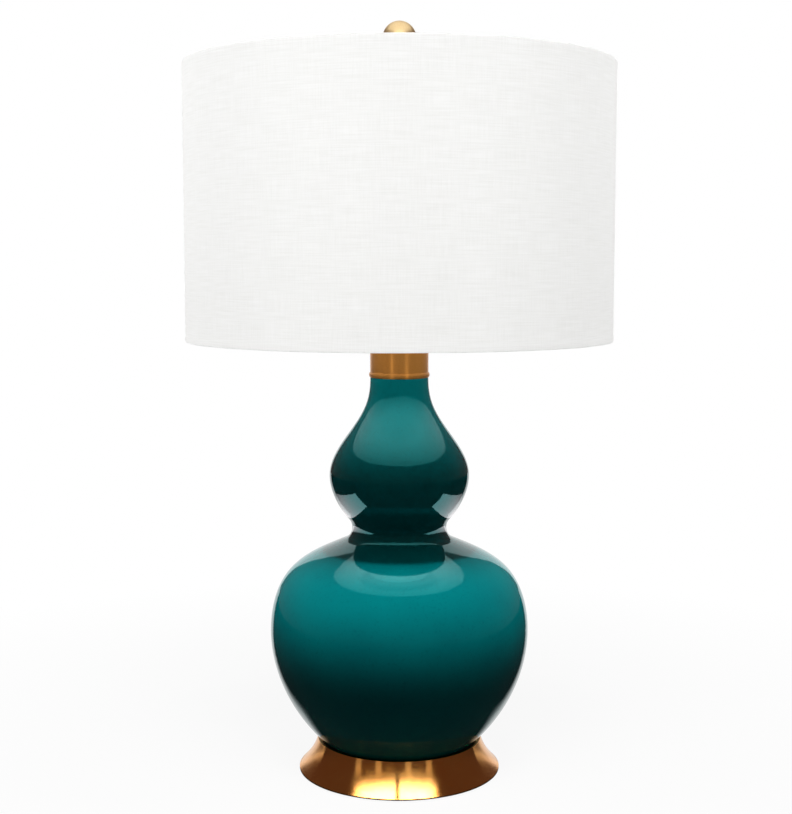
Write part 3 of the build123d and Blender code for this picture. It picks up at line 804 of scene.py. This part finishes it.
def foot_lights():
    """Sectors overhead with a dark seam between them, upright strips, and white low down at the sides."""
    foot = group("under_foot_lights", [nodes["base_foot"]])
    for start, end in CEILING_SECTORS:
        ceiling_sector(f"ceiling_{start:.0f}", start, end, foot)
    for angle in FOOT_STRIPS:
        place = toward(angle, STRIP_DISTANCE, FOOT_STRIP_MIDDLE)
        upright_panel(f"foot_strip_{angle}", place, FOOT_STRIP_WIDTH, STRIP_HEIGHT,
                      FOOT_STRIP_RADIANCE, foot)
    for angle in FOOT_SIDES:
        place = toward(angle, FOOT_SIDE_DISTANCE, FOOT_SIDE_MIDDLE)
        upright_panel(f"foot_side_{angle}", place, FOOT_SIDE_WIDTH, FOOT_SIDE_HEIGHT,
                      FOOT_SIDE_RADIANCE, foot)


def cap_lights(mouth):
    """Light from the shade's mouth on the neck cap, and upright strips that show on it as streaks."""
    cap = group("under_cap_lights", [nodes["neck_cap"]])
    disc_light("cap_glow", mouth, CAP_GLOW_RADIUS, CAP_GLOW_RADIANCE, receivers=cap)
    for turn, radiance in CAP_STRIP_TURNS:
        for angle in CAP_STRIPS:
            place = toward(angle + turn, STRIP_DISTANCE, CAP_STRIP_MIDDLE)
            upright_panel(f"cap_strip_{angle + turn}", place, CAP_STRIP_WIDTH, STRIP_HEIGHT, radiance, cap)


def inner_lights(mouth, crown):
    """Soft light on the finial and on the pieces inside the shade."""
    inside = group("under_inner_lights", [nodes[name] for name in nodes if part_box(name)[0].z >= mouth])
    below_top_soft = (*TOP_SOFT_PLACE[:2], 0.0)
    area_light("top_soft", TOP_SOFT_PLACE, below_top_soft, TOP_SOFT_SIZE, TOP_SOFT_SIZE,
               TOP_SOFT_RADIANCE, inside)
    finial = group("under_front_soft", [nodes["finial"]])
    upright_panel("front_soft", FRONT_SOFT_PLACE, FRONT_SOFT_SIZE, FRONT_SOFT_SIZE,
                  FRONT_SOFT_RADIANCE, finial)
    disc_light("inner_up", mouth + INNER_MARGIN, INNER_RADIUS, INNER_RADIANCE, up=True, receivers=inside)
    disc_light("inner_down", crown - INNER_MARGIN, INNER_RADIUS, INNER_RADIANCE, receivers=inside)


def key_light(pieces):
    """A soft light from high in front, which casts the lamp's shadow on the floor."""
    target = Vector((0.0, 0.0, KEY_TARGET_HEIGHT))
    way = Vector((0.0, -math.cos(KEY_ELEVATION), math.sin(KEY_ELEVATION)))
    radiance = level_radiance(KEY_LEVEL, KEY_DISTANCE, KEY_SIZE)
    key = area_light("key", target + way * KEY_DISTANCE, target, KEY_SIZE, KEY_SIZE, radiance,
                     group("under_key", pieces))
    key.visible_glossy = False


def camera():
    data = bpy.data.cameras.new("camera")
    data.sensor_width = CAMERA_SENSOR_MM
    data.lens = CAMERA_LENS_MM
    eye = bpy.data.objects.new("camera", data)
    eye.location = CAMERA_PLACE
    eye.rotation_euler = (math.pi / 2 - CAMERA_TILT_DOWN, 0.0, 0.0)
    bpy.context.scene.collection.objects.link(eye)
    bpy.context.scene.camera = eye


bpy.context.scene.view_settings.view_transform = "Standard"
camera()

# Ceramic and brass
dress(glaze(), "gourd_body")
dress(turned_brass("foot_brass", tone(236, 172, 92), tone(228, 158, 80),
                   roughness=0.18, line_depth=0.02, stretch=1.0), "base_foot")
dress(turned_brass("cap_brass", tone(206, 144, 72), tone(192, 128, 60),
                   roughness=0.5, line_depth=0.1, stretch=1.0), "neck_cap")
dress(turned_brass("finial_brass", tone(246, 222, 172), tone(236, 208, 152),
                   roughness=0.42, line_depth=0.02), "finial")
dress(turned_brass("harp_brass", tone(214, 176, 104), tone(192, 150, 82),
                   roughness=0.25, line_depth=0.05),
      "harp", "harp_stud", "harp_saddle", "harp_sleeve_left", "harp_sleeve_right")
dress(turned_brass("socket_brass", tone(222, 186, 116), tone(206, 166, 96),
                   roughness=0.2, line_depth=0.05), "socket_cap", "socket_shell")

# Other metal
dress(plain("zinc_steel", tone(196, 198, 200), roughness=0.32, metallic=1.0),
      "clamp_washer", "lock_washer", "bottom_nut", "threaded_rod", "cap_nut", "socket_set_screw")
dress(plain("shaft_steel", tone(188, 188, 186), roughness=0.3, metallic=1.0), "switch_shaft")
dress(plain("screw_shell_metal", tone(206, 208, 208), roughness=0.28, metallic=1.0), "screw_shell")
dress(plain("contact_brass", tone(206, 170, 96), roughness=0.3, metallic=1.0),
      "center_contact", "terminal_screws")
dress(plain("bulb_base_metal", tone(206, 206, 204), roughness=0.3, metallic=1.0),
      "bulb_screw_base", "bulb_tip")

# Glass, plastic, paper and rubber
dress(plain("bulb_insulator", tone(30, 30, 32), roughness=0.3), "bulb_insulator")
dress(plain("frosted_glass", tone(240, 240, 236), roughness=0.35, contrast=0.03), "bulb_glass")
dress(plain("liner_paper", tone(150, 122, 84), roughness=0.85), "socket_liner")
dress(plain("phenolic", tone(34, 30, 28), roughness=0.35), "socket_body")
dress(plain("knob_plastic", tone(28, 26, 25), roughness=0.32), "switch_knob")
dress(plain("bushing_plastic", tone(38, 34, 30), roughness=0.4), "cord_bushing")
dress(plain("gasket_rubber", tone(24, 24, 24), roughness=0.8), "body_gasket")
dress(plain("frame_white", tone(232, 232, 228), roughness=0.4),
      "spider", "shade_top_ring", "shade_bottom_ring")
dress(plain("shade_styrene", tone(240, 240, 237), roughness=0.5, grain=25.0, contrast=0.02), "shade_liner")

# Soft pieces
pad = felt_disc(felt())
drum = shade_cloth(linen())

# Studio
shade_low, shade_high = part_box("shade_cloth")
studio_world()
studio_flags()
gourd_alone = group("gourd_alone", [nodes["gourd_body"]])
mouth_lights(shade_low.z, gourd_alone)
overhead_light(gourd_alone)
shade_lights(drum)
rim_lights(drum, pad, shade_low.z, shade_high.z)
foot_lights()
cap_lights(shade_low.z)
inner_lights(shade_low.z, shade_high.z)
key_light([studio_floor(), nodes["cord_bushing"], nodes["body_gasket"], pad])
